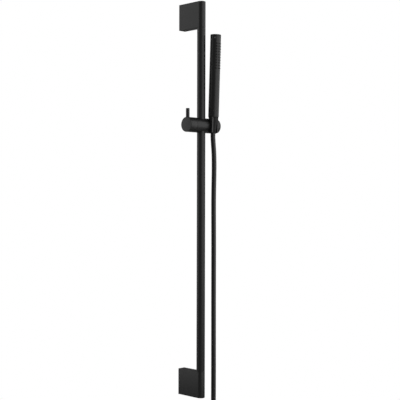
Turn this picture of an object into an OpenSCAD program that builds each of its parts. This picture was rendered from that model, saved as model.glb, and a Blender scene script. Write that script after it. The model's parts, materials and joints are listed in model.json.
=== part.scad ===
// Shower rail set: a wall rail with two brackets, a clamping slider with a tilting cup,
// a baton handset and its hose. The origin is on the wall, at the middle of the lower
// bracket. +X is right along the wall, -Y is away from the wall, +Z is up.

/* [Rail] */
// Outside diameter of the rail tube
rail_d = 20; // [18:0.5:22]
// Wall thickness of the rail tube
rail_wall = 1.5; // [1.2:0.1:2]
// Height of the set from end to end
set_h = 940; // [900:10:1100]
// Distance from the wall to the rail's axis
rail_out = 67; // [60:1:80]
// Length of each spigot inside the rail
spigot_l = 24; // [20:1:40]

/* [Brackets] */
// Height of each bracket block
bracket_h = 62; // [58:1:80]
// Spacing of the two wall screws in a bracket
screw_gap = 18; // [16:1:20]
// Radius of a wall screw hole
screw_r = 2.6; // [2.2:0.1:2.8]

/* [Slider] */
// Diameter of the cross barrel
barrel_d = 35; // [34:0.5:38]
// Length of the cross barrel
barrel_l = 98; // [96:1:110]
// Height of the barrel's axis above the lower bracket's middle
slider_z = 615; // [200:5:780]
// Length of the clamp knob at the barrel's left end
knob_l = 20; // [18:1:24]
// Diameter of the lever pin
lever_d = 8.6; // [7:0.1:8.8]
// Height of the lever pin's tip above the barrel's axis
lever_h = 38; // [30:1:50]

/* [Cup] */
// Distance of the cup's axis to the right of the rail's axis
cup_x = 24.5; // [24:0.5:26]
// Distance of the cup's axis in front of the rail's axis
cup_out = 16; // [15.5:0.1:17]
// Forward lean of the cup and the handset, in degrees
cup_tilt = 2.1; // [0:0.1:6]
// Outside radius of the cup's rim
rim_r = 11.8; // [11.6:0.1:12.4]
// Outside radius of the cup's lower end
cup_low_r = 8.6; // [8.5:0.1:9]
// Width of the slot that the hose passes through
slot_w = 13.6; // [12.5:0.1:14]
// Distance of the cradle's flat front from the rail's axis
cradle_out = 23.3; // [22.5:0.1:24]

/* [Handset] */
// Outside diameter of the handset
handset_d = 25.3; // [25:0.1:26.5]
// Height of the handset's tip above the barrel's axis, along its own axis
handset_top = 216.1; // [210:0.1:240]
// Rows of nozzles
nozzle_rows = 10; // [6:1:10]
// Spacing of the nozzles along and across the handset
nozzle_pitch = 6.5; // [5.5:0.1:6.5]
// Radius of a nozzle
nozzle_r = 1.3; // [0.9:0.1:1.4]

/* [Hose] */
// Outside diameter of the hose
hose_d = 11.5; // [11:0.1:11.5]

/* [Hidden] */
$fn = 64;

black = "#242424";
rubber = "#3a3a3a";
nylon = "#d8d6cf";
brass = "#b9995a";
steel = "#b8bbbd";

rail_r = rail_d / 2;
tube_r = rail_r - rail_wall;
upper_z = set_h - bracket_h;
rail_z0 = bracket_h / 2;
rail_l = set_h - 2 * bracket_h;
// How far a cut runs past the face it starts from
over = 1;

// Bracket fittings
pocket = [15, 12, bracket_h - 15];
plate = [14.4, 3, pocket[2] - 1];
lug = [plate[0], 11, 6];
grub_r = 2.5;
grub_y = -7.5;
grub_l = 6.9;
stem_r = 5;
stem_l = 20;
plug_r = tube_r - 0.05;
ring_gap_r = 6.6;
ring_at = 6;
cross_r = 2;
cross_at = 14;

// Barrel stations along X, measured from the rail's axis
barrel_r = barrel_d / 2;
end_x = barrel_l / 2;
knob_x = knob_l - end_x;
seam_x = 13.2;
seam_gap = 0.3;
bush_r = rail_r + 1;
bush_gap = 6;
pad_r = 5;
pad_x = -19.5;
pad_travel = 0.5;
washer_r = 12;
knob_wall = 10;
lever_foot = 6;
lever_edge = 0.8;
pivot_r = 2.5;
pivot_l = 12;
disc_t = 1.2;
spindle_r = 4;
stub_r = 5.5;
stub_x = 36;
spring_x = 34;
bay_r = 8;
cap_r = 13;
cap_x = 45;
lever_x = 5 - end_x;
// A small scallop under the holder's end
notch_out = 4.5;
notch_h = 4.5;
notch_r = 3.4;

// Flat-sided cradle that carries the cup in front of the barrel
cradle_x = seam_x + 0.4;
cradle_w = 20.2;
cradle_d = 11.3;
cradle_low = -16;

// Stations along the cup's axis, measured from the barrel's axis
rim_w = 20.5;
cup_w = -17.5;
liner_t = 0.6;
wall_top = 1.5;
wall_low = 0.9;
nut_top = 36;
nut_seat = 22.7;
thread_r = 10.45;
shell_w = 36.3;
shell_t = 1.35;
cap_w = handset_top - 2.7;
handset_r = handset_d / 2;
nozzle_w0 = 136;
nozzle_gap = 0.25;
nozzle_proud = 0.9;
// Fitting, supply tube and spray chamber inside the handset
fitting_top = 50;
fitting_r = 7;
groove_w = 45;
tube_top = 130;
chamber_top = 203;
slot_half = 7;
mat_r = handset_r - shell_t - 0.05;
mat_t = 1.1;
edge = 0.6;
plug_l = 9.9;
screw_hole = 2.05;
nozzle_step = 2 * asin(nozzle_pitch / 2 / handset_r);
screw_w = handset_top - 8.1;
screw_turn = -52;

// Hose
hose_r = hose_d / 2;
insert_r = 4;
water_r = 2.8;
// The free stretch of the hose, from its hinge just below the cone nut down to the hank
hose_route = [
    [24.5, -82.1, 591.3], [24.5, -82.2, 586], [24.5, -82.7, 580], [24.5, -83.5, 571],
    [24.5, -84.6, 560], [24.5, -85.7, 545], [24.5, -86.2, 528], [24.5, -86.2, 508],
    [24.5, -85.8, 486], [24.5, -85.2, 460], [24.5, -84.9, 432], [24.5, -85, 400],
    [24.5, -85.3, 360], [24.5, -85.5, 320], [24.5, -85.5, 280], [24.5, -85.5, 240],
    [24.5, -85.5, 200], [24.5, -85.6, 160], [24.5, -85.7, 120], [24.5, -85.8, 80],
    [24.5, -85.9, 40], [24.5, -85.9, 0], [24.5, -85.7, -40], [24.5, -85.5, -70],
    [24.5, -85.5, -90]
];
// The last stretch, from the hank to the far end's ferrule
tail_route = [
    [24.5, -97.5, -215], [24.5, -97.5, -224], [24.5, -99.2, -236], [24.5, -102, -248],
    [24.5, -104.8, -258], [24.5, -106, -264.5], [24.5, -106, -268]
];
hank_top = -90;
hank_low = -290;
hank_fold = 69;
hank_layer = 12;
hank_cut = -215;
hank_front = -85.5;
tail_x = 24.5;
tail_y = -106;
tail_z = -268;
tie_z = -160;
tie_h = 16;
tie_t = 1.2;
tie_gap = 0.3;
ferrule_r = 7;
ferrule_l = 17;
supply_r = 9.32;
supply_l = 12;
nut_across = 24;

// A cylinder along X from x0 to x1
module bar(x0, x1, r) {
    translate([x0, 0, 0]) rotate([0, 90, 0]) cylinder(h = x1 - x0, r = r);
}

// A cylinder along Z from z0 to z1, tapering if two radii are given
module post(z0, z1, r, r2 = -1) {
    translate([0, 0, z0]) cylinder(h = z1 - z0, r1 = r, r2 = r2 < 0 ? r : r2);
}

// A ring about Z with a rectangular section
module ring(z0, z1, inner, outer) {
    difference() {
        post(z0, z1, outer);
        post(z0 - over, z1 + over, inner);
    }
}

// A ring about X with a rectangular section
module x_ring(x0, x1, inner, outer) {
    difference() {
        bar(x0, x1, outer);
        bar(x0 - over, x1 + over, inner);
    }
}

// A round ring of rubber about Z
module o_ring(middle, thick) {
    rotate_extrude() translate([middle, 0]) circle(r = thick / 2, $fn = 24);
}

// The rail's axis at the barrel
module at_barrel() {
    translate([0, -rail_out, slider_z]) children();
}

// The holder's own place, leaning with the cup
module at_holder() {
    at_barrel() rotate([cup_tilt, 0, 0]) children();
}

// The cup's axis, with Z along it
module at_cup() {
    at_holder() translate([cup_x, -cup_out, 0]) children();
}

module rail_tube() {
    color(black) translate([0, -rail_out, 0]) difference() {
        post(rail_z0, rail_z0 + rail_l, rail_r);
        post(rail_z0 - over, rail_z0 + rail_l + over, tube_r);
        for (z = [rail_z0 + cross_at, rail_z0 + rail_l - cross_at])
            translate([0, 0, z]) rotate([-90, 0, 0]) cylinder(h = rail_d, r = cross_r + 0.02);
    }
}

// A bracket about its own middle; inward is 1 where the rail leaves upwards
module bracket(inward) {
    color(black) difference() {
        union() {
            translate([-rail_r, -rail_out, -bracket_h / 2]) cube([rail_d, rail_out, bracket_h]);
            translate([0, -rail_out, 0]) post(-bracket_h / 2, bracket_h / 2, rail_r);
        }
        translate([-pocket[0] / 2, -pocket[1], -pocket[2] / 2])
            cube([pocket[0], pocket[1] + over, pocket[2]]);
        translate([0, grub_y, 0]) post(-bracket_h / 2 - over, 0, grub_r);
        translate([0, -rail_out, inward * (bracket_h / 2 - stem_l)])
            mirror([0, 0, inward < 0 ? 1 : 0]) post(0, stem_l + over, stem_r + 0.02);
    }
}

module lower_bracket() {
    bracket(1);
}

module upper_bracket() {
    translate([0, 0, upper_z]) bracket(-1);
}

module wall_plate() {
    color(steel) difference() {
        union() {
            translate([-plate[0] / 2, -plate[1], -plate[2] / 2]) cube(plate);
            for (z = [-plate[2] / 2, plate[2] / 2 - lug[2]])
                translate([-lug[0] / 2, -lug[1], z]) cube(lug);
        }
        for (z = [-screw_gap / 2, screw_gap / 2])
            translate([0, over, z]) rotate([90, 0, 0]) cylinder(h = plate[1] + 2 * over, r = screw_r);
    }
}

module lower_wall_plate() {
    wall_plate();
}

module upper_wall_plate() {
    translate([0, 0, upper_z]) wall_plate();
}

// A headless screw with its tip at 0, driven from below through a hex socket
module grub_screw(r, l) {
    difference() {
        post(-l, 0, r);
        translate([0, 0, -l - over]) cylinder(h = l / 2 + over, r = r * 0.55, $fn = 6);
    }
}

module bracket_grub_screws() {
    color(steel) for (z = [0, upper_z])
        translate([0, grub_y, z - plate[2] / 2 - 0.1]) grub_screw(grub_r - 0.02, grub_l);
}

// A spigot that stands in a bracket and fills the rail's end
module spigot() {
    color(steel) difference() {
        union() {
            post(-stem_l + 0.5, 0, stem_r);
            post(0, spigot_l, plug_r);
        }
        ring(ring_at - 1.1, ring_at + 1.1, ring_gap_r, plug_r + over);
        translate([0, 0, cross_at]) rotate([-90, 0, 0]) cylinder(h = rail_r, r = cross_r + 0.02);
    }
}

module lower_spigot() {
    translate([0, -rail_out, rail_z0]) spigot();
}

module upper_spigot() {
    translate([0, -rail_out, rail_z0 + rail_l]) mirror([0, 0, 1]) spigot();
}

module spigot_o_rings() {
    color(rubber) for (z = [rail_z0 + ring_at, rail_z0 + rail_l - ring_at])
        translate([0, -rail_out, z]) o_ring(ring_gap_r + 0.95, 1.7);
}

module rail_grub_screws() {
    color(steel) for (z = [rail_z0 + cross_at, rail_z0 + rail_l - cross_at])
        translate([0, 2 - rail_out, z]) rotate([90, 0, 0]) grub_screw(cross_r, rail_r - 2.3);
}

// Two nylon rings that guide the slider on the rail, cut to the barrel's curve
module rail_bushes() {
    color(nylon) at_barrel() intersection() {
        for (side = [0, 1]) mirror([0, 0, side]) ring(bush_gap, barrel_r, rail_r + 0.05, bush_r - 0.05);
        bar(-barrel_r, barrel_r, barrel_r - 0.4);
    }
}

module slider_body() {
    color(black) at_barrel() difference() {
        union() {
            bar(knob_x + seam_gap, seam_x, barrel_r);
            bar(seam_x - over, stub_x, stub_r);
        }
        post(-barrel_r - over, barrel_r + over, bush_r);
        bar(knob_x - over, pad_x, spindle_r + 0.05);
        bar(pad_x - pad_travel, 0, pad_r + 0.05);
        bar(knob_x, knob_x + seam_gap + 1, washer_r + 0.1);
        bar(stub_x - pivot_l - 2, stub_x + over, pivot_r);
    }
}

module knob_washer() {
    color(nylon) at_barrel() x_ring(knob_x + 0.05, knob_x + seam_gap + 0.95, spindle_r + 0.1, washer_r);
}

module friction_disc() {
    color(nylon) at_barrel() x_ring(seam_x + 0.05, seam_x + disc_t, stub_r + 0.1, cap_r);
}

// Two dished washers, nested, drawn as one cone
module disc_spring() {
    color(steel) at_barrel() translate([spring_x + 0.05, 0, 0]) rotate([0, 90, 0]) difference() {
        cylinder(h = 1.9, r1 = bay_r - 0.2, r2 = bay_r - 1);
        translate([0, 0, -over]) cylinder(h = 4, r = stub_r + 0.1);
    }
}

module pivot_washer() {
    color(steel) at_barrel() x_ring(stub_x, stub_x + disc_t, pivot_r + 0.1, bay_r - 0.2);
}

module pivot_screw() {
    color(steel) at_barrel() difference() {
        union() {
            bar(stub_x - pivot_l, stub_x + disc_t + 0.05, pivot_r - 0.02);
            bar(stub_x + disc_t + 0.05, stub_x + disc_t + 3, 4.5);
        }
        translate([stub_x + 2.6, 0, 0]) rotate([0, 90, 0]) cylinder(h = 3, r = 1.7, $fn = 6);
    }
}

module clamp_knob() {
    color(black) at_barrel() difference() {
        bar(-end_x, knob_x, barrel_r);
        bar(-end_x + knob_wall, knob_x + over, spindle_r + 0.02);
        translate([lever_x, 0, 0]) post(lever_foot, barrel_r + over, lever_d / 2 + 0.02);
    }
}

module lever_pin() {
    color(black) at_barrel() translate([lever_x, 0, 0]) {
        post(lever_foot, lever_h - lever_edge, lever_d / 2);
        post(lever_h - lever_edge, lever_h, lever_d / 2, lever_d / 2 - lever_edge);
    }
}

module clamp_spindle() {
    color(steel) at_barrel() bar(-end_x + knob_wall + 0.1, pad_x - 2 * pad_travel, spindle_r);
}

module brake_pad() {
    color(rubber) at_barrel() difference() {
        bar(pad_x + 0.05, -rail_r + 2, pad_r);
        post(-barrel_r, barrel_r, rail_r + 0.03);
    }
}

// A cone about the cup's axis, given by its radii at the rim and at the lower end
module cup_cone(top, low, extra = 0) {
    slope = (top - low) / (rim_w - cup_w);
    post(cup_w - extra, rim_w + extra, low - slope * extra, top + slope * extra);
}

module hose_slot() {
    translate([-slot_w / 2, -3 * rim_r, -2 * rim_w]) cube([slot_w, 3 * rim_r, 4 * rim_w]);
}

// What lies in front of the cradle's flat front
module front_trim() {
    translate([-2 * rim_r, cup_out - cradle_out - 2 * rim_r, -2 * rim_w])
        cube([4 * rim_r, 2 * rim_r, 4 * rim_w]);
}

module holder_body() {
    color(black) at_holder() difference() {
        union() {
            bar(seam_x + seam_gap, end_x, barrel_r);
            translate([cup_x, -cup_out, 0]) cup_cone(rim_r, cup_low_r);
            translate([cradle_x, -cradle_out, cradle_low]) cube([cradle_w, cradle_d, rim_w - cradle_low]);
        }
        translate([cup_x, -cup_out, 0]) {
            cup_cone(rim_r - wall_top, cup_low_r - wall_low, over);
            hose_slot();
            front_trim();
        }
        bar(seam_x, seam_x + disc_t + 0.1, cap_r + 0.1);
        bar(seam_x, stub_x, stub_r + 0.05);
        bar(spring_x, end_x, bay_r);
        bar(cap_x, end_x + over, cap_r);
        translate([end_x, -notch_out, 0]) post(-barrel_r - over, -barrel_r + notch_h, notch_r);
    }
}

module holder_cap() {
    color(black) at_holder() bar(cap_x + 0.1, end_x, cap_r - 0.02);
}

module cup_liner() {
    color(rubber) at_cup() difference() {
        cup_cone(rim_r - wall_top - 0.05, cup_low_r - wall_low - 0.05);
        cup_cone(rim_r - wall_top - liner_t, cup_low_r - wall_low - liner_t, over);
        hose_slot();
        front_trim();
    }
}

module cone_nut() {
    fit = liner_t + 0.35;
    color(black) at_cup() difference() {
        union() {
            post(cup_w + 0.5, rim_w + 0.3, cup_low_r - wall_low - fit, rim_r - wall_top - fit);
            post(rim_w + 0.2, nut_top, handset_r);
        }
        post(cup_w - over, nut_top, hose_r + 0.2);
        post(nut_seat, nut_top + over, thread_r);
    }
}

module hose_insert() {
    color(brass) at_cup() difference() {
        union() {
            post(cup_w + 0.5, nut_seat + 2, insert_r);
            post(nut_seat + 1.1, nut_seat + 3, thread_r - 0.65);
        }
        post(cup_w - over, nut_seat + 4, water_r);
    }
}

module hose_ferrule() {
    color(steel) at_cup() ring(cup_w + 0.5, 4, insert_r + 0.02, hose_r + 0.1);
}

module swivel_ring() {
    color(nylon) at_cup() ring(nut_seat + 0.02, nut_seat + 1.05, hose_r + 0.5, thread_r - 0.3);
}

module seal_washer() {
    color(rubber) at_cup() ring(nut_seat + 3.05, nut_seat + 5, insert_r + 1, thread_r - 0.65);
}

module inlet_fitting() {
    color(nylon) at_cup() difference() {
        union() {
            post(nut_seat + 5.1, shell_w, thread_r - 0.06);
            post(shell_w, fitting_top, mat_r);
        }
        post(nut_seat, fitting_top + over, fitting_r);
        ring(groove_w - 1.1, groove_w + 1.1, thread_r - 0.65, handset_r);
    }
}

module inlet_o_ring() {
    color(rubber) at_cup() translate([0, 0, groove_w]) o_ring(thread_r, 1.5);
}

module flow_regulator() {
    color(nylon) at_cup() ring(30, 34, 2.4, fitting_r - 0.05);
}

module water_tube() {
    color(nylon) at_cup() ring(42, tube_top, 4.5, 6);
}

// Places children at each nozzle, with Z pointing out of the handset
module nozzles() {
    for (row = [0:nozzle_rows - 1], column = [-1:1])
        translate([0, 0, nozzle_w0 + row * nozzle_pitch])
            rotate([90, 0, column * nozzle_step]) children();
}

module spray_chamber() {
    color(nylon) at_cup() difference() {
        post(tube_top + 0.05, chamber_top, mat_r - mat_t - 0.05);
        translate([-slot_half, -handset_r, tube_top + 3])
            cube([2 * slot_half, handset_r + 3, chamber_top - tube_top - 6]);
        post(tube_top - over, tube_top + 4, 4.5);
    }
}

// A half sleeve of rubber behind the shell, with a nozzle through each of its holes
module nozzle_mat() {
    inner = mat_r - mat_t;
    tall = chamber_top - tube_top;
    color(rubber) at_cup() {
        difference() {
            ring(tube_top + 1, chamber_top - 1, inner, mat_r);
            translate([-handset_r, -nozzle_pitch, tube_top]) cube([handset_d, handset_d, tall]);
        }
        nozzles() translate([0, 0, inner + 0.3])
            cylinder(h = handset_r + nozzle_proud - inner - 0.3, r = nozzle_r, $fn = 20);
    }
}

module screw_bore() {
    translate([0, 0, screw_w]) rotate([90, 0, screw_turn]) cylinder(h = 20, r = screw_hole);
}

module handset_shell() {
    color(black) at_cup() difference() {
        post(shell_w, cap_w, handset_r);
        post(shell_w - over, cap_w + over, handset_r - shell_t);
        nozzles() translate([0, 0, 8]) cylinder(h = 8, r = nozzle_r + nozzle_gap, $fn = 20);
        screw_bore();
    }
}

module end_cap() {
    color(black) at_cup() difference() {
        union() {
            post(cap_w + 0.2, handset_top - edge, handset_r);
            post(handset_top - edge, handset_top, handset_r, handset_r - edge);
            post(cap_w - plug_l, cap_w + 0.3, mat_r);
        }
        screw_bore();
    }
}

module cap_screw() {
    color(steel) at_cup() translate([0, 0, screw_w]) rotate([90, 0, screw_turn])
        translate([0, 0, handset_r - 0.3]) grub_screw_up(2, 8);
}

// A headless screw with its socket end at 0, pointing down
module grub_screw_up(r, l) {
    mirror([0, 0, 1]) translate([0, 0, l]) grub_screw(r, l);
}

// The direction of a route at its point i
function along(route, i) =
    let (a = route[max(i - 1, 0)], b = route[min(i + 1, len(route) - 1)]) (b - a) / norm(b - a);

// A ring of points about a place, square to direction t, which has no part along X
function hoop(place, t, r, sides) =
    let (side = [1, 0, 0], up = cross(t, side))
    [for (k = [0:sides - 1]) place + r * (cos(360 * k / sides) * side + sin(360 * k / sides) * up)];

// A round tube along a route, closed at both ends, with a dome over its start if asked
module sweep(route, r, dome = false, sides = 12) {
    t = along(route, 0);
    crown = [for (a = dome ? [75:-15:15] : []) hoop(route[0] - r * sin(a) * t, t, r * cos(a), sides)];
    rings = concat(crown, [for (i = [0:len(route) - 1]) hoop(route[i], along(route, i), r, sides)]);
    last = len(rings) - 1;
    walls = [for (i = [0:last - 1], k = [0:sides - 1])
        let (a = i * sides, b = a + sides, n = (k + 1) % sides) [a + k, a + n, b + n, b + k]];
    start = [for (k = [0:sides - 1]) sides - 1 - k];
    finish = [for (k = [0:sides - 1]) last * sides + k];
    polyhedron(points = [for (h = rings) each h], faces = concat(walls, [start, finish]));
}

module hose_tube() {
    color(black) sweep(hose_route, hose_r, dome = true);
}

module hose_tail() {
    color(black) sweep(tail_route, hose_r);
}

// A hank's outline in the X-Z plane, about the middle of its upper fold
module fold_outline(low) {
    wide = hank_fold / 2 + hose_r;
    circle(r = wide);
    translate([-wide, low]) square([2 * wide, -low]);
}

module hose_hank() {
    wide = hank_fold / 2 + hose_r;
    color(black) translate([tail_x + hank_fold / 2, hank_front + hose_r, hank_top]) difference() {
        rotate([90, 0, 0]) {
            linear_extrude(hose_d + 0.25) {
                fold_outline(hank_low - hank_top);
                translate([0, hank_low - hank_top]) circle(r = wide);
            }
            linear_extrude(hank_layer + hose_d) fold_outline(hank_cut - hank_top);
        }
        translate([-wide - over, -hose_d, 0]) cube([hose_d + 1.2 * over, hose_d + over, wide + over]);
    }
}

module hank_tie() {
    inner = [hank_fold + hose_d + 2 * tie_gap, hank_layer + hose_d + 2 * tie_gap, tie_h];
    outer = inner + [2 * tie_t, 2 * tie_t, 0];
    middle_y = hank_front + hose_r - (hank_layer + hose_d) / 2;
    color(rubber) translate([tail_x + hank_fold / 2, middle_y, tie_z]) difference() {
        cube(outer, center = true);
        cube(inner + [0, 0, 2 * over], center = true);
    }
}

// The far end of the hose, with Z down its axis from the ferrule's upper face
module at_tail() {
    translate([tail_x, tail_y, tail_z]) rotate([180, 0, 0]) children();
}

module end_ferrule() {
    color(black) at_tail() ring(0, ferrule_l, insert_r + 0.02, ferrule_r);
}

module end_insert() {
    color(brass) at_tail() difference() {
        union() {
            post(0, ferrule_l + 3, insert_r);
            post(ferrule_l + 1.5, ferrule_l + 3.5, supply_r + 0.1);
        }
        post(-over, ferrule_l + 5, water_r);
    }
}

module end_washer() {
    color(rubber) at_tail() ring(ferrule_l + 3.55, ferrule_l + 5.4, insert_r + 1, supply_r + 0.1);
}

module supply_nut() {
    shoulder = 3;
    cavity = 4.1;
    seat = ferrule_l + 1.4;
    bottom = seat + cavity;
    color(black) at_tail() difference() {
        translate([0, 0, seat - shoulder])
            cylinder(h = shoulder + cavity + supply_l, r = nut_across / 2 / cos(30), $fn = 6);
        post(0, seat + over, ferrule_r + 0.1);
        post(seat, bottom, supply_r + 0.3);
        post(bottom - over, bottom + supply_l + over, supply_r);
    }
}

rail_tube();
lower_bracket();
upper_bracket();
lower_wall_plate();
upper_wall_plate();
bracket_grub_screws();
lower_spigot();
upper_spigot();
spigot_o_rings();
rail_grub_screws();
rail_bushes();
slider_body();
knob_washer();
friction_disc();
disc_spring();
pivot_washer();
pivot_screw();
clamp_knob();
lever_pin();
clamp_spindle();
brake_pad();
holder_body();
holder_cap();
cup_liner();
hose_insert();
hose_ferrule();
seal_washer();
cone_nut();
swivel_ring();
inlet_fitting();
inlet_o_ring();
flow_regulator();
water_tube();
spray_chamber();
nozzle_mat();
handset_shell();
end_cap();
cap_screw();
hose_tube();
hose_hank();
hose_tail();
hank_tie();
end_ferrule();
end_insert();
end_washer();
supply_nut();
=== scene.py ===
# %% [markdown]
# A wall-mounted shower rail in matt black: a long tube between two brackets, a clamp that
# slides on it, and a slim baton handset that sits in the clamp's cup with its hose below.
# The working parts, their sizes and their joints already exist as a fixed frame. This
# notebook dresses that frame. Each cell makes one piece or one finish, says why it is made
# that way, and prints what came out. All lengths are in metres and +Z is up.

# %% Load the frame
import json
import math

import bmesh
import bpy
from mathutils import Matrix, Quaternion, Vector


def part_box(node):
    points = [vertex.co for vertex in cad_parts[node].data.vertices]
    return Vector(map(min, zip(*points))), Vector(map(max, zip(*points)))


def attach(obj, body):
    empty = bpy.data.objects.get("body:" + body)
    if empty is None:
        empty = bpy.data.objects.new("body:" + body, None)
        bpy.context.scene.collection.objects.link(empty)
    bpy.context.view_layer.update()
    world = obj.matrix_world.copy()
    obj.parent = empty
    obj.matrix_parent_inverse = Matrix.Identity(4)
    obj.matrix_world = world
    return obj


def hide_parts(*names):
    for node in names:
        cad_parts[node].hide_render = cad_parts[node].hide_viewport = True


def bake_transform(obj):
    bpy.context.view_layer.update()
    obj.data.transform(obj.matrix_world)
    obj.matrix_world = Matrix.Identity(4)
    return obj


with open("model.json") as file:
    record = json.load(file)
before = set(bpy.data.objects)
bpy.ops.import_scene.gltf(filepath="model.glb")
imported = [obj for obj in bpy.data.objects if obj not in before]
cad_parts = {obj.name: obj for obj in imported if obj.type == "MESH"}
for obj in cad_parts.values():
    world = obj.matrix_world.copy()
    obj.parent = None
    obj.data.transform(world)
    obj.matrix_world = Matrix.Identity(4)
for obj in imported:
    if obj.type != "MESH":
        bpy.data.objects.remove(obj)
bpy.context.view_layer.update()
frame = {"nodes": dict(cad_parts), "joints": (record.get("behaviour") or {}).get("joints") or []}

MM = 0.001
JOINTS = {joint["name"]: joint for joint in frame["joints"]}

# %% [markdown]
# Everything is placed from the frame. The rail's own box gives its axis and radius. The
# clamp's hinge gives the cross barrel's axis, and the handset's hinge gives the line that
# the cup, the nut and the handset share, which leans forward a little.

# %% The lines that the pieces are built on
rail_low, rail_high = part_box("rail_tube")
RAIL_R = (rail_high.x - rail_low.x) / 2
RAIL = Vector(((rail_low.x + rail_high.x) / 2, (rail_low.y + rail_high.y) / 2, 0))
BARREL = Vector(JOINTS["clamp_turn"]["pos_m"])
CUP_UP = Vector(JOINTS["handset_turn"]["axis"]).normalized()
LEAN = math.atan2(-CUP_UP.y, CUP_UP.z)
HOLDER_FRAME = Matrix.Translation(BARREL) @ Matrix.Rotation(LEAN, 4, "X")
CUP_AT = HOLDER_FRAME.inverted() @ Vector(JOINTS["handset_turn"]["pos_m"])
CUP_FRAME = HOLDER_FRAME @ Matrix.Translation((CUP_AT.x, CUP_AT.y, 0))
print("rail radius", round(RAIL_R / MM, 2), "mm; lean", round(math.degrees(LEAN), 2), "degrees")

# %% [markdown]
# Something nearly a metre tall is best seen from a few metres away through a long lens, so that uprights
# stay upright. The camera stands to the left of the rail and level with its middle. It is aimed a hair
# to the left of the rail's axis, which puts the set in the middle of the frame.

# %% Camera
AZIMUTH = math.radians(-44.24)
DISTANCE = 2.208
LENS_MM = 83.7
AIM_LEFT = 2.33 * MM
AIM_DOWN = 1.0 * MM
ROLL = math.radians(0.124)

middle = Vector((RAIL.x, RAIL.y, (rail_low.z + rail_high.z) / 2))
back = Vector((math.sin(AZIMUTH), -math.cos(AZIMUTH), 0))
right = Vector((math.cos(AZIMUTH), math.sin(AZIMUTH), 0))
camera = bpy.data.objects.new("camera", bpy.data.cameras.new("camera"))
camera.data.lens = LENS_MM
camera.data.sensor_width = 36
camera.location = middle + back * DISTANCE - right * AIM_LEFT - Vector((0, 0, AIM_DOWN))
camera.rotation_mode = "QUATERNION"
camera.rotation_quaternion = (-back).to_track_quat("-Z", "Y") @ Quaternion((0, 0, 1), ROLL)
bpy.context.collection.objects.link(camera)
bpy.context.scene.camera = camera
bpy.context.scene.view_settings.view_transform = "Standard"
print("camera at", [round(v, 3) for v in camera.location])

# %% [markdown]
# A hose is a tube swept along a line. The line is hung first: straight out of the cone nut,
# a slight bow where the nut's lean turns into the plumb line, then straight down. What is
# left of its length is folded into a hank below the rail, as it is packed before fitting.
# The free stretch is a given list. The folds are half circles, worked out here.

# %% The hose's line
HOSE_D = 11.5 * MM
HOSE_ROUTE = [
    (24.5, -82.4, 597.4), (24.5, -82.1, 591.3), (24.5, -82.2, 586), (24.5, -82.7, 580),
    (24.5, -83.5, 571), (24.5, -84.6, 560), (24.5, -85.7, 545), (24.5, -86.2, 528),
    (24.5, -86.2, 508), (24.5, -85.8, 486), (24.5, -85.2, 460), (24.5, -84.9, 432),
    (24.5, -85, 400), (24.5, -85.3, 360), (24.5, -85.5, 320), (24.5, -85.5, 280),
    (24.5, -85.5, 240), (24.5, -85.5, 200), (24.5, -85.6, 160), (24.5, -85.7, 120),
    (24.5, -85.8, 80), (24.5, -85.9, 40), (24.5, -85.9, 0), (24.5, -85.7, -40),
    (24.5, -85.5, -70), (24.5, -85.5, -90),
]
TAIL_ROUTE = [
    (24.5, -97.5, -215), (24.5, -97.5, -224), (24.5, -99.2, -236), (24.5, -102, -248),
    (24.5, -104.8, -258), (24.5, -106, -264.5), (24.5, -106, -268),
]
HANK_TOP, HANK_LOW, HANK_FOLD, HANK_LAYER = -90, -290, 69, 12
FOLD_STEPS = 20


def hank_line():
    """The folded part of the hose in millimetres: down, round, up, over and down in front."""
    left, front, _ = HOSE_ROUTE[-1]
    r = HANK_FOLD / 2
    turns = [math.pi * i / FOLD_STEPS for i in range(FOLD_STEPS + 1)]
    lower = [(left + r - r * math.cos(t), front, HANK_LOW - r * math.sin(t)) for t in turns]
    upper = [
        (left + r + r * math.cos(t), front - HANK_LAYER * (1 - math.cos(t)) / 2,
         HANK_TOP + r * math.sin(t))
        for t in turns
    ]
    runs = [(left, front, z) for z in (-140, -190, -240)]
    back_up = [(left + 2 * r, front, z) for z in (-240, -190, -140)]
    return runs + lower + back_up + upper + [(left, front - HANK_LAYER, z) for z in (-130, -175)]


hose_points = [Vector(p) * MM for p in HOSE_ROUTE + hank_line() + TAIL_ROUTE]
print("hose line:", len(hose_points), "points")

# %% [markdown]
# A smooth curve through chosen points is a Catmull-Rom spline: each span's ends follow the
# neighbours on either side, so no handles have to be set. It is then walked in even steps,
# because rings that are evenly spaced shade best. The tube's rings are carried along by the
# smallest turn from one step to the next, so the tube never twists.

# %% Helpers for swept pieces
def smooth_line(points, step):
    """Points about one step apart on a smooth curve through the given ones."""
    fine = []
    for i in range(len(points) - 1):
        a, b = points[max(i - 1, 0)], points[i]
        c, d = points[i + 1], points[min(i + 2, len(points) - 1)]
        # Tangents are scaled by the spans, so uneven spacing makes no loops
        span = (c - b).length
        enter = (c - a) / max((c - b).length + (b - a).length, 1e-9) * span
        leave = (d - b) / max((d - c).length + (c - b).length, 1e-9) * span
        parts = max(1, round(span / step))
        for k in range(parts):
            t = k / parts
            fine.append(
                b * (2 * t**3 - 3 * t**2 + 1) + enter * (t**3 - 2 * t**2 + t)
                + c * (3 * t**2 - 2 * t**3) + leave * (t**3 - t**2)
            )
    return fine + [points[-1]]


def line_length(points):
    """The length of a chain of points."""
    return sum((b - a).length for a, b in zip(points, points[1:]))


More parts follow.
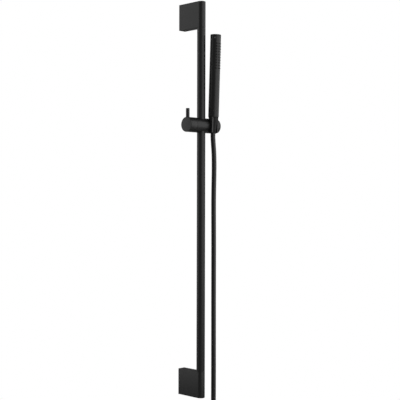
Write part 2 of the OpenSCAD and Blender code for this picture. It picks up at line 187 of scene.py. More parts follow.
def finish_mesh(bm, name, smooth_angle=35):
    """Turns a bmesh into a linked object with outward faces, smooth except at its edges."""
    bmesh.ops.remove_doubles(bm, verts=bm.verts, dist=1e-7)
    bmesh.ops.recalc_face_normals(bm, faces=bm.faces)
    mesh = bpy.data.meshes.new(name)
    bm.to_mesh(mesh)
    bm.free()
    mesh.polygons.foreach_set("use_smooth", [True] * len(mesh.polygons))
    mesh.set_sharp_from_angle(angle=math.radians(smooth_angle))
    piece = bpy.data.objects.new(name, mesh)
    bpy.context.collection.objects.link(piece)
    return piece


def tube(name, line, radius, sides=24):
    """A closed round tube along a line; radius is a number or a function of the distance."""
    bm = bmesh.new()
    rings, walked = [], 0.0
    heading = (line[1] - line[0]).normalized()
    side = heading.orthogonal().normalized()
    for i, place in enumerate(line):
        before, after = line[max(i - 1, 0)], line[min(i + 1, len(line) - 1)]
        new_heading = (after - before).normalized()
        side = heading.rotation_difference(new_heading) @ side
        heading = new_heading
        up = heading.cross(side)
        walked += (place - before).length
        r = radius(walked) if callable(radius) else radius
        turn = [2 * math.pi * k / sides for k in range(sides)]
        rings.append([bm.verts.new(place + r * (side * math.cos(t) + up * math.sin(t))) for t in turn])
    for a, b in zip(rings, rings[1:]):
        for k in range(sides):
            n = (k + 1) % sides
            bm.faces.new((a[k], a[n], b[n], b[k]))
    bm.faces.new(rings[0])
    bm.faces.new(rings[-1])
    return finish_mesh(bm, name)


hose_line = smooth_line(hose_points, 6 * MM)
print("hose centreline:", round(line_length(hose_line), 3), "m in", len(hose_line), "steps")

# %% [markdown]
# The finishes come next, because every piece takes one as it is made. Each is a small node
# tree round the standard shader. Patterns read Object coordinates in metres, so a grain of
# half a millimetre is drawn as half a millimetre on any piece. One function adds a node
# with its settings and its links, and one turns a hex colour into the shader's linear one.

# %% Helpers for materials
def linear(hex_colour):
    """An sRGB hex colour as the linear RGBA that shaders work in."""
    channels = [int(hex_colour[i:i + 2], 16) / 255 for i in (1, 3, 5)]
    return [c / 12.92 if c <= 0.04045 else ((c + 0.055) / 1.055) ** 2.4 for c in channels] + [1]


def add(tree, kind, inputs=None, **settings):
    """Adds a node; an input is given a value, or an output socket to link from."""
    node = tree.nodes.new(kind)
    for key, value in settings.items():
        setattr(node, key, value)
    for socket, value in (inputs or {}).items():
        if isinstance(value, bpy.types.NodeSocket):
            tree.links.new(value, node.inputs[socket])
        else:
            node.inputs[socket].default_value = value
    return node


def finish(name, low, high, grain_mm, rough, bump_mm, patch_mm=60, **shader_inputs):
    """A material that drifts between two colours in patches, with a fine grain on its skin.

    rough is the least and greatest roughness; bump_mm is the height of the grain.
    """
    material = bpy.data.materials.new(name)
    material.use_nodes = True
    tree = material.node_tree
    tree.nodes.clear()
    place = add(tree, "ShaderNodeTexCoord").outputs["Object"]
    patch = add(tree, "ShaderNodeTexNoise",
                {"Vector": place, "Scale": 1 / (patch_mm * MM), "Detail": 2.0})
    grain = add(tree, "ShaderNodeTexNoise",
                {"Vector": place, "Scale": 1 / (grain_mm * MM), "Detail": 3.0, "Roughness": 0.6})
    # Sockets of a colour mix are picked by place, because its three kinds share their names
    colour = add(tree, "ShaderNodeMix", {0: patch.outputs["Fac"], 6: linear(low), 7: linear(high)},
                 data_type="RGBA")
    gloss = add(tree, "ShaderNodeMapRange",
                {"Value": grain.outputs["Fac"], "From Min": 0.3, "From Max": 0.7,
                 "To Min": rough[0], "To Max": rough[1]})
    bump = add(tree, "ShaderNodeBump",
               {"Height": grain.outputs["Fac"], "Strength": 1.0, "Distance": bump_mm * MM})
    shader = add(tree, "ShaderNodeBsdfPrincipled",
                 {"Base Color": colour.outputs[2], "Roughness": gloss.outputs["Result"],
                  "Normal": bump.outputs["Normal"], **shader_inputs})
    add(tree, "ShaderNodeOutputMaterial", {"Surface": shader.outputs["BSDF"]})
    return material


# %% [markdown]
# Everything that shows is black, but not one black. The brackets, the rail and the clamp are
# powder coated: baked resin powder leaves a fine pebbled skin that is matt with a soft
# sheen. The handset and its nut are ABS mouldings under a smoother soft-touch lacquer. The
# hose is extruded PVC, the smoothest and the glossiest of the three, and the nozzles are
# silicone, the dullest.

# %% Black finishes
POWDER_COAT = finish("powder_coat_matt_black", "#191919", "#1d1d1d", 0.45, (0.36, 0.46), 0.02,
                     IOR=1.5)
SOFT_LACQUER = finish("lacquered_abs_black", "#171717", "#1b1b1b", 0.3, (0.34, 0.40), 0.008,
                      IOR=1.5)
HOSE_PVC = finish("extruded_pvc_black", "#131313", "#181818", 1.2, (0.30, 0.38), 0.01,
                  IOR=1.52)
SILICONE = finish("moulded_silicone_black", "#101010", "#151515", 0.25, (0.65, 0.75), 0.01,
                  IOR=1.41)
NITRILE = finish("nitrile_rubber_black", "#161616", "#1e1e1e", 0.4, (0.6, 0.75), 0.02, IOR=1.5)
# The cone nut's black is darker than the rest: painted shade for the deep slot it sits in.
CONE_ABS_PAINTED_SHADE = finish("moulded_abs_dull_black", "#0c0c0c", "#101010", 0.5, (0.6, 0.7), 0.02, IOR=1.4)
print("black finishes: 6")

# %% [markdown]
# Inside are the materials that nobody sees until the set is taken apart: turned stainless
# steel, brass, and natural nylon, which is a warm white because nothing is added to it.

# %% Finishes of the inner pieces
STEEL = finish("turned_stainless_steel", "#8f9092", "#a9abad", 0.35, (0.28, 0.4), 0.006,
               Metallic=1.0)
BRASS = finish("turned_brass", "#b08a4a", "#c29b58", 0.35, (0.25, 0.38), 0.006, Metallic=1.0)
NYLON = finish("moulded_nylon", "#d8d4c8", "#e2dfd6", 0.5, (0.4, 0.5), 0.01, IOR=1.53)
print("inner finishes: 3")


def dress(piece, finish_used, body, slot_name, *nodes):
    """Gives a new piece its finish, the body that it rides on and the nodes it stands for."""
    piece.data.materials.clear()
    piece.data.materials.append(finish_used)
    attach(piece, body)
    if nodes:
        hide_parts(*nodes)
    print(piece.name, "has", len(piece.data.polygons), "faces")
    return piece


# %% [markdown]
# The hose is one tube from the nut to its far end.

# %% Hose
hose = tube("hose", hose_line, HOSE_D / 2)
hose.data.materials.append(HOSE_PVC)
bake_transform(hose)
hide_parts("hose_tube", "hose_hank", "hose_tail")
print("hose has", len(hose.data.polygons), "faces")

# %% [markdown]
# Most of the set is turned on a lathe or moulded round. Such a piece is one outline spun
# about an axis. Real corners are never quite sharp, and it is the light caught on the
# rounding that tells the eye where an edge is. So an outline's corner may carry a radius,
# and is replaced by an arc of that radius before the outline is spun.

# %% Helpers for turned pieces
def rounded(corners, steps=5):
    """A closed outline of (a, b) or (a, b, radius) corners, with arcs at those with a radius."""
    outline = []
    for i, corner in enumerate(corners):
        here = Vector(corner[:2])
        if len(corner) < 3:
            outline.append(tuple(here))
            continue
        to_last = (Vector(corners[i - 1][:2]) - here).normalized()
        to_next = (Vector(corners[(i + 1) % len(corners)][:2]) - here).normalized()
        half = to_last.angle(to_next) / 2
        centre = here + (to_last + to_next).normalized() * corner[2] / math.sin(half)
        first = here + to_last * corner[2] / math.tan(half) - centre
        last = here + to_next * corner[2] / math.tan(half) - centre
        sweep = math.atan2(first.cross(last), first.dot(last))
        for k in range(steps + 1):
            t = sweep * k / steps
            c, s = math.cos(t), math.sin(t)
            outline.append((centre.x + first.x * c - first.y * s, centre.y + first.x * s + first.y * c))
    return outline


def lathe(name, corners, frame_matrix, sides=96, smooth_angle=35):
    """Spins a closed outline of (radius, height) corners, in millimetres, about Z."""
    bm = bmesh.new()
    outline = rounded(corners)
    rings = []
    for r, h in outline:
        if r < 1e-6:
            rings.append([bm.verts.new((0, 0, h * MM))])
            continue
        turn = [2 * math.pi * k / sides for k in range(sides)]
        rings.append([bm.verts.new((r * MM * math.cos(t), r * MM * math.sin(t), h * MM)) for t in turn])
    for a, b in zip(rings, rings[1:] + rings[:1]):
        for k in range(sides):
            n = (k + 1) % sides
            loop = [a[k % len(a)], a[n % len(a)], b[n % len(b)], b[k % len(b)]]
            loop = [v for j, v in enumerate(loop) if v is not loop[j - 1]]
            if len(loop) > 2:
                bm.faces.new(loop)
    bm.transform(frame_matrix)
    return finish_mesh(bm, name, smooth_angle)


def block(name, low, high, frame_matrix=Matrix.Identity(4)):
    """A plain box between two corners in millimetres, for cutting with."""
    bm = bmesh.new()
    bmesh.ops.create_cube(bm, size=1)
    low, high = Vector(low) * MM, Vector(high) * MM
    for v in bm.verts:
        v.co = Vector(low[i] + (v.co[i] + 0.5) * (high[i] - low[i]) for i in range(3))
    bm.transform(frame_matrix)
    return finish_mesh(bm, name)


def carve(piece, *tools, smooth_angle=35):
    """Cuts or joins other objects into a piece, each given as (operation, object)."""
    for operation, tool in tools:
        cut = piece.modifiers.new("carve", "BOOLEAN")
        cut.operation, cut.object, cut.solver = operation, tool, "EXACT"
    bpy.context.view_layer.update()
    carved = bpy.data.meshes.new_from_object(
        piece.evaluated_get(bpy.context.evaluated_depsgraph_get()))
    piece.modifiers.clear()
    carved.name = piece.name
    piece.data = carved
    carved.polygons.foreach_set("use_smooth", [True] * len(carved.polygons))
    carved.set_sharp_from_angle(angle=math.radians(smooth_angle))
    for _, tool in tools:
        bpy.data.objects.remove(tool)
    return piece


ALONG_X = Matrix.Rotation(math.radians(90), 4, "Y")
print("helpers ready")

# %% [markdown]
# The rail is 20 mm tube with 1.5 mm walls. Only its outside and its end edges ever show, but
# it is spun as a true tube. Its two set screws sit in holes on the wall side, so the holes
# are drilled too, and stay out of sight from the room.

# %% Rail
RAIL_WALL_MM = 1.5
SCREW_INSET_MM = 14
SCREW_HOLE_MM = 2.05
r_out = RAIL_R / MM
rail_ends = (rail_low.z / MM, rail_high.z / MM)
rail = lathe("rail", [
    (r_out - RAIL_WALL_MM, rail_ends[0]), (r_out, rail_ends[0], 0.3), (r_out, rail_ends[1], 0.3),
    (r_out - RAIL_WALL_MM, rail_ends[1]),
], Matrix.Translation(RAIL))
holes = [
    lathe("rail_hole", [(0, 0), (SCREW_HOLE_MM, 0), (SCREW_HOLE_MM, r_out + 5), (0, r_out + 5)],
          Matrix.Translation(RAIL + Vector((0, 0, z * MM))) @ Matrix.Rotation(math.radians(-90), 4, "X"),
          sides=24)
    for z in (rail_ends[0] + SCREW_INSET_MM, rail_ends[1] - SCREW_INSET_MM)
]
carve(rail, *[("DIFFERENCE", hole) for hole in holes])
dress(rail, POWDER_COAT, "wall_set", "matt_black_metal", "rail_tube")

# %% [markdown]
# A bracket is a cast block whose front is half a cylinder, as wide as the rail. Its outline
# is drawn once and stacked in levels that draw in at the top and the bottom, which rounds
# those edges evenly. A pocket in its back takes the wall plate, and a small bore from below
# takes the screw that clamps the block to that plate.

# %% Brackets
BRACKET_EASE = 0.7 * MM
CORNER_EASE = 0.4 * MM
POCKET = (15, 12, 47)
GRUB_Y_MM, GRUB_R_MM = -7.5, 2.5
ARC_STEPS = 48


def bracket_outline(inset, z):
    """The block's outline at one level: flat at the wall, half round at the front."""
    r = RAIL_R - inset
    wall = -inset
    arc = [math.pi * (1 + i / ARC_STEPS) for i in range(ARC_STEPS + 1)]
    front = [(r * math.cos(t), RAIL.y + r * math.sin(t), z) for t in arc]
    return front + [
        (r, wall - CORNER_EASE, z), (r - CORNER_EASE, wall, z),
        (CORNER_EASE - r, wall, z), (-r, wall - CORNER_EASE, z),
    ]


def bracket(name, node):
    """A bracket block over the box of its node, with its pocket and its screw bore."""
    low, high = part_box(node)
    ease = [math.pi / 2 * i / 5 for i in range(6)]
    lower = [(BRACKET_EASE * (1 - math.sin(t)), BRACKET_EASE * (1 - math.cos(t))) for t in ease]
    levels = [(inset, low.z + up) for inset, up in lower]
    levels += [(inset, high.z - up) for inset, up in reversed(lower)]
    bm = bmesh.new()
    rings = [[bm.verts.new(p) for p in bracket_outline(inset, z)] for inset, z in levels]
    for a, b in zip(rings, rings[1:]):
        for k in range(len(a)):
            n = (k + 1) % len(a)
            bm.faces.new((a[k], a[n], b[n], b[k]))
    bm.faces.new(rings[0])
    bm.faces.new(rings[-1])
    piece = finish_mesh(bm, name)
    mid = (low.z + high.z) / 2 / MM
    wide, deep, tall = POCKET
    pocket = block("pocket", (-wide / 2, -deep, mid - tall / 2), (wide / 2, 1, mid + tall / 2))
    bore = lathe("bore", [(0, 0), (GRUB_R_MM, 0), (GRUB_R_MM, 20), (0, 20)],
                 Matrix.Translation(Vector((0, GRUB_Y_MM * MM, low.z - 3 * MM))), sides=24)
    carve(piece, ("DIFFERENCE", pocket), ("DIFFERENCE", bore))
    return dress(piece, POWDER_COAT, "wall_set", "matt_black_metal", node)


bracket("lower_bracket_block", "lower_bracket")
bracket("upper_bracket_block", "upper_bracket")

# %% [markdown]
# The clamp is a barrel that lies across the rail. It is three turned pieces in a row with
# hairline seams between them: the clamp knob on the left with its lever pin, the body that
# the rail passes through, and the holder on the right. All three are spun about the same
# line. The body's bore is cut after it is spun.

# %% Knob, lever pin and body
BARREL_FRAME = Matrix.Translation(BARREL) @ ALONG_X
knob_low, knob_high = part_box("clamp_knob")
body_low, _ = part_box("slider_body")
disc_low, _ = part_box("friction_disc")
pin_low, pin_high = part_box("lever_pin")
barrel_r = (knob_high.z - knob_low.z) / 2 / MM
knob_x = (knob_low.x / MM, knob_high.x / MM)
body_x = (body_low.x / MM, disc_low.x / MM)
BORE_R_MM = 11
SEAM_EASE = 0.15

knob = lathe("clamp_knob_turned", [
    (0, knob_x[0]), (barrel_r, knob_x[0], 0.9), (barrel_r, knob_x[1], SEAM_EASE), (0, knob_x[1]),
], BARREL_FRAME)
dress(knob, POWDER_COAT, "knob", "matt_black_metal", "clamp_knob")

pin_r = (pin_high.x - pin_low.x) / 2 / MM
pin_top = (pin_high.z - BARREL.z) / MM
pin_at = Vector(((pin_low.x + pin_high.x) / 2, BARREL.y, BARREL.z))
pin = lathe("lever_pin_turned", [
    (0, barrel_r - 4), (pin_r, barrel_r - 4), (pin_r, pin_top, 0.8), (0, pin_top),
], Matrix.Translation(pin_at), sides=64)
dress(pin, POWDER_COAT, "knob", "matt_black_metal", "lever_pin")

body = lathe("slider_body_turned", [
    (0, body_x[0]), (barrel_r, body_x[0], SEAM_EASE), (barrel_r, body_x[1], SEAM_EASE),
    (0, body_x[1]),
], BARREL_FRAME)
bore = lathe("rail_bore", [(0, -25), (BORE_R_MM, -25), (BORE_R_MM, 25), (0, 25)],
             Matrix.Translation(BARREL))
carve(body, ("DIFFERENCE", bore))
dress(body, POWDER_COAT, "slider", "matt_black_metal", "slider_body")

# %% [markdown]
# The holder is the hardest shape here: a barrel with a flat-sided cradle on its front, bored
# to a taper for the nut and open along a slot so that the hose can be passed through it. It
# is carved as a machinist would: turn the barrel, join the cradle and the sleeve, bore the
# taper, mill the slot and the flat front, and take a small scallop out of the lower end. The
# end cap closes the tilt screw's bay.

# %% Holder
RIM_R, RIM_W = 11.8, 20.5
LOW_R, LOW_W = 8.6, -17.5
WALL_TOP, WALL_LOW = 1.5, 0.9
SLOT_W = 13.6
CAP_R, CAP_X = 13, 45
NOTCH_OUT, NOTCH_H, NOTCH_R = 4.5, 4.5, 3.4
CRADLE_OUT, CRADLE_DEEP, CRADLE_WIDE, CRADLE_LOW = 23.3, 11.3, 20.2, -16
CRADLE_INSET, TRIM_STOCK = 0.1, 1
DISC_TO_BARREL = 0.25
holder_start = disc_low.x / MM + DISC_TO_BARREL
end_x = -knob_x[0]
cup_x, cup_y = CUP_AT.x / MM, CUP_AT.y / MM

holder = lathe("holder_barrel", [
    (0, holder_start), (barrel_r, holder_start, SEAM_EASE), (barrel_r, end_x, 0.6),
    (CAP_R, end_x, 0.2), (CAP_R, CAP_X), (0, CAP_X),
], HOLDER_FRAME @ ALONG_X)
taper = (RIM_R - WALL_TOP - LOW_R + WALL_LOW) / (RIM_W - LOW_W)
sleeve_bore = lathe("sleeve_bore", [
    (0, LOW_W - 1), (LOW_R - WALL_LOW - taper, LOW_W - 1),
    (RIM_R - WALL_TOP + taper, RIM_W + 1), (0, RIM_W + 1),
], CUP_FRAME)
sleeve = lathe("sleeve", [
    (LOW_R - WALL_LOW, LOW_W, 0.3), (LOW_R, LOW_W, 0.3), (RIM_R, RIM_W, 0.5),
    (RIM_R - WALL_TOP, RIM_W, 0.4),
], CUP_FRAME)
cradle_x = holder_start + CRADLE_INSET
cradle = block("cradle", (cradle_x, -CRADLE_OUT - TRIM_STOCK, CRADLE_LOW),
               (cradle_x + CRADLE_WIDE, CRADLE_DEEP - CRADLE_OUT, RIM_W), HOLDER_FRAME)
front_trim = block("front_trim", (cup_x - 3 * RIM_R, -CRADLE_OUT - 3 * RIM_R, -3 * RIM_W),
                   (cup_x + 3 * RIM_R, -CRADLE_OUT, 3 * RIM_W), HOLDER_FRAME)
slot_cut = block("slot_cut", (cup_x - SLOT_W / 2, cup_y - 3 * RIM_R, -2 * RIM_W),
                 (cup_x + SLOT_W / 2, cup_y, 2 * RIM_W), HOLDER_FRAME)
notch = lathe("notch", [(0, -barrel_r - 1), (NOTCH_R, -barrel_r - 1),
                        (NOTCH_R, NOTCH_H - barrel_r), (0, NOTCH_H - barrel_r)],
              HOLDER_FRAME @ Matrix.Translation(Vector((end_x, -NOTCH_OUT, 0)) * MM), sides=48)
carve(holder, ("UNION", cradle), ("DIFFERENCE", sleeve_bore), ("UNION", sleeve),
      ("DIFFERENCE", slot_cut), ("DIFFERENCE", front_trim), ("DIFFERENCE", notch))
dress(holder, POWDER_COAT, "holder", "matt_black_metal", "holder_body")

cap = lathe("holder_cap_turned", [
    (0, CAP_X + 0.1), (CAP_R - 0.1, CAP_X + 0.1), (CAP_R - 0.1, end_x, 0.35), (0, end_x),
], HOLDER_FRAME @ ALONG_X)
dress(cap, POWDER_COAT, "holder", "matt_black_metal", "holder_cap")

# %% [markdown]
# The cone nut drops into the sleeve and carries the handset. Its lower half is the cone that the sleeve
# grips. It is left dull and coloured darker than the other blacks, as painted shade for the deep slot
# round it. Its upper half is as wide as the handset and lacquered like it, so that the two read as one
# rod.

# %% Cone nut, handset tube and cap
nut_low, nut_high = -17, 36
NUT_SEAT = 22.7
CONE = (6.75, 9.35)
HANDSET_R = 12.65
SHELL_T = 1.35
SHELL_W = (36.3, 213.4)
CAP_W = (203.5, 213.6, 216.1)
NUT_BORE_R, NUT_THREAD_R = 5.95, 10.45
nut_step = RIM_W + 0.3
cone = lathe("nut_cone", [
    (NUT_BORE_R, nut_low, 0.3), (CONE[0], nut_low, 0.4), (CONE[1], nut_step),
    (NUT_BORE_R, nut_step),
], CUP_FRAME)
dress(cone, CONE_ABS_PAINTED_SHADE, "handset", "matt_black_abs", "cone_nut")
nut = lathe("nut_barrel", [
    (NUT_BORE_R, nut_step), (HANDSET_R, nut_step, 0.7), (HANDSET_R, nut_high, 0.12),
    (NUT_THREAD_R, nut_high), (NUT_THREAD_R, NUT_SEAT), (NUT_BORE_R, NUT_SEAT),
], CUP_FRAME)
dress(nut, SOFT_LACQUER, "handset", "matt_black_abs", "cone_nut")

# %% [markdown]
# The spray face is thirty small holes in three columns, with a silicone nozzle standing in
# each. The holes are drilled through the shell, square to its surface. The screw that locks
# the cap sits in one more hole near the top, round to the side.

# %% Spray holes and the cap's screw hole
ROWS, COLUMNS = 10, 3
PITCH = 6.5
FIRST_ROW = 136
NOZZLE_R = 1.3
HOLE_GAP = 0.35
COLUMN_TURN = 2 * math.asin(PITCH / 2 / HANDSET_R)
SCREW_W, SCREW_TURN, SCREW_R = 208, math.radians(-52), 2.05


def radial_drill(name, height, turn, radius):
    """A cylinder that points out of the handset's front, turned about its axis."""
    reach = HANDSET_R + 3
    place = CUP_FRAME @ Matrix.Translation((0, 0, height * MM))
    aim = Matrix.Rotation(turn, 4, "Z") @ Matrix.Rotation(math.radians(90), 4, "X")
    return lathe(name, [(0, 8), (radius, 8), (radius, reach), (0, reach)], place @ aim, sides=24)


shell = lathe("handset_shell_turned", [
    (HANDSET_R - SHELL_T, SHELL_W[0]), (HANDSET_R, SHELL_W[0], 0.12),
    (HANDSET_R, SHELL_W[1], 0.2), (HANDSET_R - SHELL_T, SHELL_W[1]),
], CUP_FRAME)
drills = [radial_drill("screw_hole", SCREW_W, SCREW_TURN, SCREW_R)]
for row in range(ROWS):
    for column in range(COLUMNS):
        turn = (column - (COLUMNS - 1) / 2) * COLUMN_TURN
        drills.append(radial_drill("spray_hole", FIRST_ROW + row * PITCH, turn, NOZZLE_R + HOLE_GAP))
carve(shell, *[("DIFFERENCE", drill) for drill in drills])
dress(shell, SOFT_LACQUER, "handset", "matt_black_abs", "handset_shell")

end_cap = lathe("end_cap_turned", [
    (0, CAP_W[0]), (HANDSET_R - SHELL_T - 0.05, CAP_W[0]), (HANDSET_R - SHELL_T - 0.05, CAP_W[1]),
    (HANDSET_R, CAP_W[1], 0.2), (HANDSET_R, CAP_W[2], 0.8), (0, CAP_W[2]),
], CUP_FRAME)
carve(end_cap, ("DIFFERENCE", radial_drill("cap_hole", SCREW_W, SCREW_TURN, SCREW_R)))
dress(end_cap, SOFT_LACQUER, "handset", "matt_black_abs", "end_cap")

# %% [markdown]
# Thirty equal nozzles in a grid are work for Geometry Nodes. The tree makes a point for each
# nozzle, numbers it into a row and a column, wraps the grid round the handset, turns every
# point's Z axis outwards and puts one turned nozzle on each. Its sizes are named inputs, so
# the same tree would serve a wider head. The result is baked to a plain mesh at the end.

# %% One nozzle
nozzle = lathe("nozzle_form", [
    (0, -1.6), (2.6, -1.6), (2.6, -1.3), (NOZZLE_R, -1.3), (NOZZLE_R, 0.3, 0.3),
    (0.95, 0.9, 0.2), (0.45, 0.9, 0.1), (0.45, -0.4), (0, -0.4),
], Matrix.Identity(4), sides=20)


# %% The nozzle tree
def nozzle_tree():
    """Geometry Nodes that wrap a grid of one nozzle round an upright cylinder."""
    tree = bpy.data.node_groups.new("nozzle_grid", "GeometryNodeTree")
    new_socket = tree.interface.new_socket
    for label, kind in [
        ("Nozzle", "NodeSocketObject"), ("Rows", "NodeSocketInt"), ("Columns", "NodeSocketInt"),
        ("Pitch", "NodeSocketFloat"), ("First Row", "NodeSocketFloat"),
        ("Radius", "NodeSocketFloat"), ("Column Turn", "NodeSocketFloat"),
        ("Material", "NodeSocketMaterial"),
    ]:
        new_socket(label, in_out="INPUT", socket_type=kind)
    new_socket("Geometry", in_out="OUTPUT", socket_type="NodeSocketGeometry")
    given = add(tree, "NodeGroupInput").outputs

    def work(operation, a, b=0.0):
        return add(tree, "ShaderNodeMath", {0: a, 1: b}, operation=operation).outputs[0]

    number = add(tree, "GeometryNodeInputIndex").outputs[0]
    row = work("FLOOR", work("DIVIDE", work("ADD", number, 0.5), given["Columns"]))
    column = work("SUBTRACT", number, work("MULTIPLY", row, given["Columns"]))
    off_centre = work("SUBTRACT", column, work("DIVIDE", work("SUBTRACT", given["Columns"], 1.0), 2.0))
    turn = work("MULTIPLY", off_centre, given["Column Turn"])
    outward = add(tree, "ShaderNodeCombineXYZ",
                  {"X": work("SINE", turn), "Y": work("MULTIPLY", work("COSINE", turn), -1.0)})
    height = work("ADD", given["First Row"], work("MULTIPLY", row, given["Pitch"]))
    out = add(tree, "ShaderNodeVectorMath", {0: outward.outputs[0], "Scale": given["Radius"]},
              operation="SCALE")
    up = add(tree, "ShaderNodeCombineXYZ", {"Z": height})
    place = add(tree, "ShaderNodeVectorMath", {0: out.outputs[0], 1: up.outputs[0]}, operation="ADD")
    points = add(tree, "GeometryNodePoints",
                 {"Count": work("MULTIPLY", given["Rows"], given["Columns"]),
                  "Position": place.outputs[0]})
    aim = add(tree, "FunctionNodeAlignRotationToVector", {"Vector": outward.outputs[0]}, axis="Z")
    form = add(tree, "GeometryNodeObjectInfo", {"Object": given["Nozzle"]})
    copies = add(tree, "GeometryNodeInstanceOnPoints",
                 {"Points": points.outputs[0], "Instance": form.outputs["Geometry"],
                  "Rotation": aim.outputs[0]})
    real = add(tree, "GeometryNodeRealizeInstances", {"Geometry": copies.outputs[0]})
    coated = add(tree, "GeometryNodeSetMaterial",
                 {"Geometry": real.outputs[0], "Material": given["Material"]})
    add(tree, "NodeGroupOutput", {"Geometry": coated.outputs[0]})
    return tree


def grown(name, tree, frame_matrix, **inputs):
    """Runs a Geometry Nodes tree once and keeps its result as a plain mesh in its place."""
    piece = bpy.data.objects.new(name, bpy.data.meshes.new(name))
    bpy.context.collection.objects.link(piece)
    grow = piece.modifiers.new("grow", "NODES")
    grow.node_group = tree
    for item in tree.interface.items_tree:
        if item.in_out == "INPUT" and item.name in inputs:
            grow[item.identifier] = inputs[item.name]
    bpy.context.view_layer.update()
    made = bpy.data.meshes.new_from_object(
        piece.evaluated_get(bpy.context.evaluated_depsgraph_get()))
    piece.modifiers.clear()
    made.transform(frame_matrix)
    made.name = name
    piece.data = made
    return piece


nozzles = grown("spray_nozzles", nozzle_tree(), CUP_FRAME, **{
    "Nozzle": nozzle, "Rows": ROWS, "Columns": COLUMNS, "Pitch": PITCH * MM,
    "First Row": FIRST_ROW * MM, "Radius": HANDSET_R * MM, "Column Turn": COLUMN_TURN,
    "Material": SILICONE,
})
bpy.data.objects.remove(nozzle)
dress(nozzles, SILICONE, "handset", "black_rubber", "nozzle_mat")

# %% [markdown]
# The hank is held by one rubber strap. A strap pulled tight takes the shortest way round
# what it holds, so its path is three arcs, one round each run of hose, joined by straight
# lines. The path is made a band by giving it a thickness and a height.

# %% Hank strap
STRAP_T = 1.1
STRAP_Z = (-168, -152)
STRAP_EASE = 0.3
STRAP_SLACK = 0.1
STRAP_ARC_STEPS = 12


def strap_path(clearance):
    """The tight loop round the three runs, in millimetres, at a distance from the hose."""
    left, front, _ = HOSE_ROUTE[-1]
    corners = [(left, front), (left, front - HANK_LAYER), (left + HANK_FOLD, front)]
    r = HOSE_D / MM / 2 + clearance
    path = []
    for i, here in enumerate(corners):
        last, following = Vector(corners[i - 1]), Vector(corners[(i + 1) % 3])
        here = Vector(here)
        arrive, leave = (here - last).normalized(), (following - here).normalized()
        first = math.atan2(-arrive.x, arrive.y) + math.pi
        turn = math.atan2(arrive.cross(leave), arrive.dot(leave))
        for k in range(STRAP_ARC_STEPS + 1):
            t = first + turn * k / STRAP_ARC_STEPS
            path.append(here + r * Vector((math.cos(t), math.sin(t))))
    return path


def band(name, inner, outer, z_range, ease):
    """A closed band between two loops of points, with eased edges."""
    low, high = z_range
    bm = bmesh.new()
    section = [(0, low + ease), (ease, low), (1 - ease, low), (1, low + ease),
               (1, high - ease), (1 - ease, high), (ease, high), (0, high - ease)]
    rings = [[bm.verts.new((*(a.lerp(b, s) * MM), z * MM)) for s, z in section]
             for a, b in zip(inner, outer)]
    for a, b in zip(rings, rings[1:] + rings[:1]):
        for k in range(len(section)):
            n = (k + 1) % len(section)
            bm.faces.new((a[k], a[n], b[n], b[k]))
    return finish_mesh(bm, name, smooth_angle=50)


strap = band("hank_strap", strap_path(STRAP_SLACK), strap_path(STRAP_SLACK + STRAP_T), STRAP_Z,
             STRAP_EASE)
dress(strap, NITRILE, "hose", "black_rubber", "hank_tie")

# %% [markdown]
# The hose ends as every shower hose does, in a nut for a half-inch spout. Its ferrule is
# crimped on in three grooves. The nut is hexagonal for a spanner, with its corners turned
# off at both ends, and its bore is threaded. At fourteen turns to the inch the thread's
# ridges are 1.8 mm apart. They are turned as rings, because one could not tell a ring from
# a helix in so short a bore.

# %% Far end of the hose
tail_at = Vector(TAIL_ROUTE[-1]) * MM
TAIL_FRAME = Matrix.Translation(tail_at) @ Matrix.Rotation(math.pi, 4, "X")
FERRULE_R, FERRULE_L, FERRULE_BORE_R = 7, 17, 4.05
CRIMPS = (4.4, 7.8, 11.2)
CRIMP_R = FERRULE_R - 0.45
crimped = []
for w in CRIMPS:
    crimped += [(FERRULE_R, w), (CRIMP_R, w + 0.5), (CRIMP_R, w + 1.3), (FERRULE_R, w + 1.8)]
ferrule = lathe("crimped_ferrule", [
    (FERRULE_BORE_R, 0), (FERRULE_R, 0, 0.8), *crimped, (FERRULE_R, FERRULE_L),
    (FERRULE_BORE_R, FERRULE_L),
], TAIL_FRAME, sides=64)
dress(ferrule, POWDER_COAT, "hose", "matt_black_metal", "end_ferrule")

THREAD_R, THREAD_L, THREAD_PITCH = 9.32, 12, 1.814
NUT_W = (15.4, 18.4, 22.5, 34.5)
NUT_CORNER_R = 12 / math.cos(math.radians(30))
NUT_FACE_R = 11.9
ridges = []
for k in range(int(THREAD_L / THREAD_PITCH)):
    w = NUT_W[2] + k * THREAD_PITCH
    ridges += [(THREAD_R, w + 0.5), (THREAD_R + 0.7, w + 0.95), (THREAD_R, w + 1.4)]
supply_nut = lathe("supply_nut_hexagon", [
    (0, NUT_W[0]), (NUT_CORNER_R, NUT_W[0]), (NUT_CORNER_R, NUT_W[3]), (0, NUT_W[3]),
], TAIL_FRAME, sides=6)
turned = lathe("nut_turning", [
    (0, NUT_W[0]), (NUT_FACE_R, NUT_W[0]), (NUT_CORNER_R + 0.1, NUT_W[0] + 1.1),
    (NUT_CORNER_R + 0.1, NUT_W[3] - 1.1), (NUT_FACE_R, NUT_W[3]), (0, NUT_W[3]),
], TAIL_FRAME)
threaded = lathe("nut_bore", [
    (0, NUT_W[0] - 1), (FERRULE_R + 0.1, NUT_W[0] - 1), (FERRULE_R + 0.1, NUT_W[1]),
    (THREAD_R + 0.3, NUT_W[1]), (THREAD_R + 0.3, NUT_W[2]), (THREAD_R, NUT_W[2]), *ridges,
    (THREAD_R, NUT_W[3] - 0.5), (THREAD_R + 0.6, NUT_W[3] + 0.1), (0, NUT_W[3] + 0.1),
], TAIL_FRAME, sides=64)
carve(supply_nut, ("INTERSECT", turned), ("DIFFERENCE", threaded), smooth_angle=25)
dress(supply_nut, POWDER_COAT, "supply", "matt_black_metal", "supply_nut")
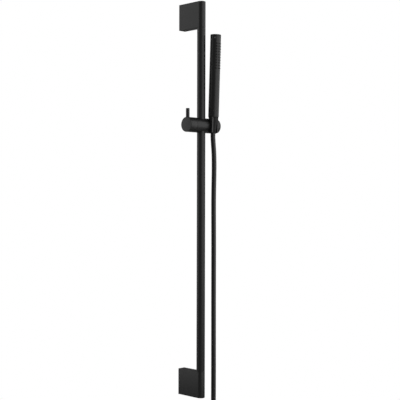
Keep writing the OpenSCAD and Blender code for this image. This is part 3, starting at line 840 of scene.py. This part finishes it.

# %% [markdown]

# %% [markdown]
# The rest of the frame's pieces are plain turned or moulded parts whose shape is already
# right, so they keep their meshes and only take a finish: fasteners and spigots in steel,
# inserts in brass, seals in nitrile rubber and the water parts in nylon. The two bushes
# and the two thin discs show as hairlines between black parts, so those are dyed black.

# %% Inner pieces
ACETAL_BLACK = finish("moulded_acetal_black", "#151515", "#1a1a1a", 0.5, (0.3, 0.4), 0.01, IOR=1.48)
INNER = {
    STEEL: ["lower_wall_plate", "upper_wall_plate", "bracket_grub_screws", "lower_spigot",
            "upper_spigot", "rail_grub_screws", "disc_spring", "pivot_washer", "pivot_screw",
            "clamp_spindle", "hose_ferrule", "cap_screw"],
    BRASS: ["hose_insert", "end_insert"],
    NYLON: ["swivel_ring", "inlet_fitting", "flow_regulator", "water_tube", "spray_chamber"],
    NITRILE: ["spigot_o_rings", "brake_pad", "cup_liner", "seal_washer", "inlet_o_ring",
              "end_washer"],
    ACETAL_BLACK: ["rail_bushes", "knob_washer", "friction_disc"],
}
for finish_used, names in INNER.items():
    for name in names:
        node = frame["nodes"][name]
        node.data.materials.clear()
        node.data.materials.append(finish_used)
print("inner pieces dressed:", sum(len(names) for names in INNER.values()))

# %% [markdown]
# The set is shown as hung, so the floor is well below it, clear of the hank even with the
# clamp at the foot of the rail. It is a plain pale disc below the camera's view. The sky is
# white where the camera looks straight at it, and dimmer for everything else, so that black
# still reads as black.

# %% Floor and sky
FLOOR_Z = -0.95
FLOOR_R = 1.5
floor = lathe("studio_floor", [(0, -2), (FLOOR_R / MM, -2, 1), (FLOOR_R / MM, 0, 1), (0, 0)],
              Matrix.Translation((0, 0, FLOOR_Z)))
floor.data.materials.append(finish("painted_floor", "#dcdad6", "#e2e0dc", 8, (0.6, 0.7), 0.02))

SKY_DIM = 0.17
sky = bpy.data.worlds.new("studio")
bpy.context.scene.world = sky
sky.use_nodes = True
sky.node_tree.nodes.clear()
seen = add(sky.node_tree, "ShaderNodeLightPath").outputs["Is Camera Ray"]
strength = add(sky.node_tree, "ShaderNodeMapRange",
               {"Value": seen, "To Min": SKY_DIM, "To Max": 1.0})
light = add(sky.node_tree, "ShaderNodeBackground",
            {"Color": (1, 1, 1, 1), "Strength": strength.outputs["Result"]})
add(sky.node_tree, "ShaderNodeOutputWorld", {"Surface": light.outputs[0]})

# %% [markdown]
# Black is lit by what it reflects. Three tall soft panels round the right of the set draw a
# broad band down the right of every tube, two round the left draw a dimmer one on the other
# edge, and the dark between them is the room itself.

# %% Soft lights
PANEL_DISTANCE = 2.4
PANEL_Z = 1.1


def panel(name, turn_deg, wide, tall, glow):
    """A soft panel on a circle round the set, turned from the camera's own direction.

    glow is how bright its face looks, where a white wall in full light would be 1.
    """
    lamp = bpy.data.lights.new(name, "AREA")
    lamp.shape, lamp.size, lamp.size_y = "RECTANGLE", wide, tall
    lamp.energy = math.pi * wide * tall * glow
    stand = bpy.data.objects.new(name, lamp)
    turn = AZIMUTH + math.radians(turn_deg)
    out = Vector((math.sin(turn), -math.cos(turn), 0))
    stand.location = Vector((middle.x, middle.y, PANEL_Z)) + out * PANEL_DISTANCE
    stand.rotation_mode = "QUATERNION"
    stand.rotation_quaternion = out.to_track_quat("Z", "Y")
    stand.visible_camera = False
    bpy.context.collection.objects.link(stand)


panel("panel_right_front", 44, 1.85, 3.0, 1.08)
panel("panel_right_side", 88, 1.85, 3.0, 1.08)
panel("panel_right_back", 122, 1.0, 3.0, 1.0)
panel("panel_left_side", -92, 2.2, 3.0, 0.76)
panel("panel_left_back", -135, 1.6, 3.0, 0.58)
print("panels: 5")
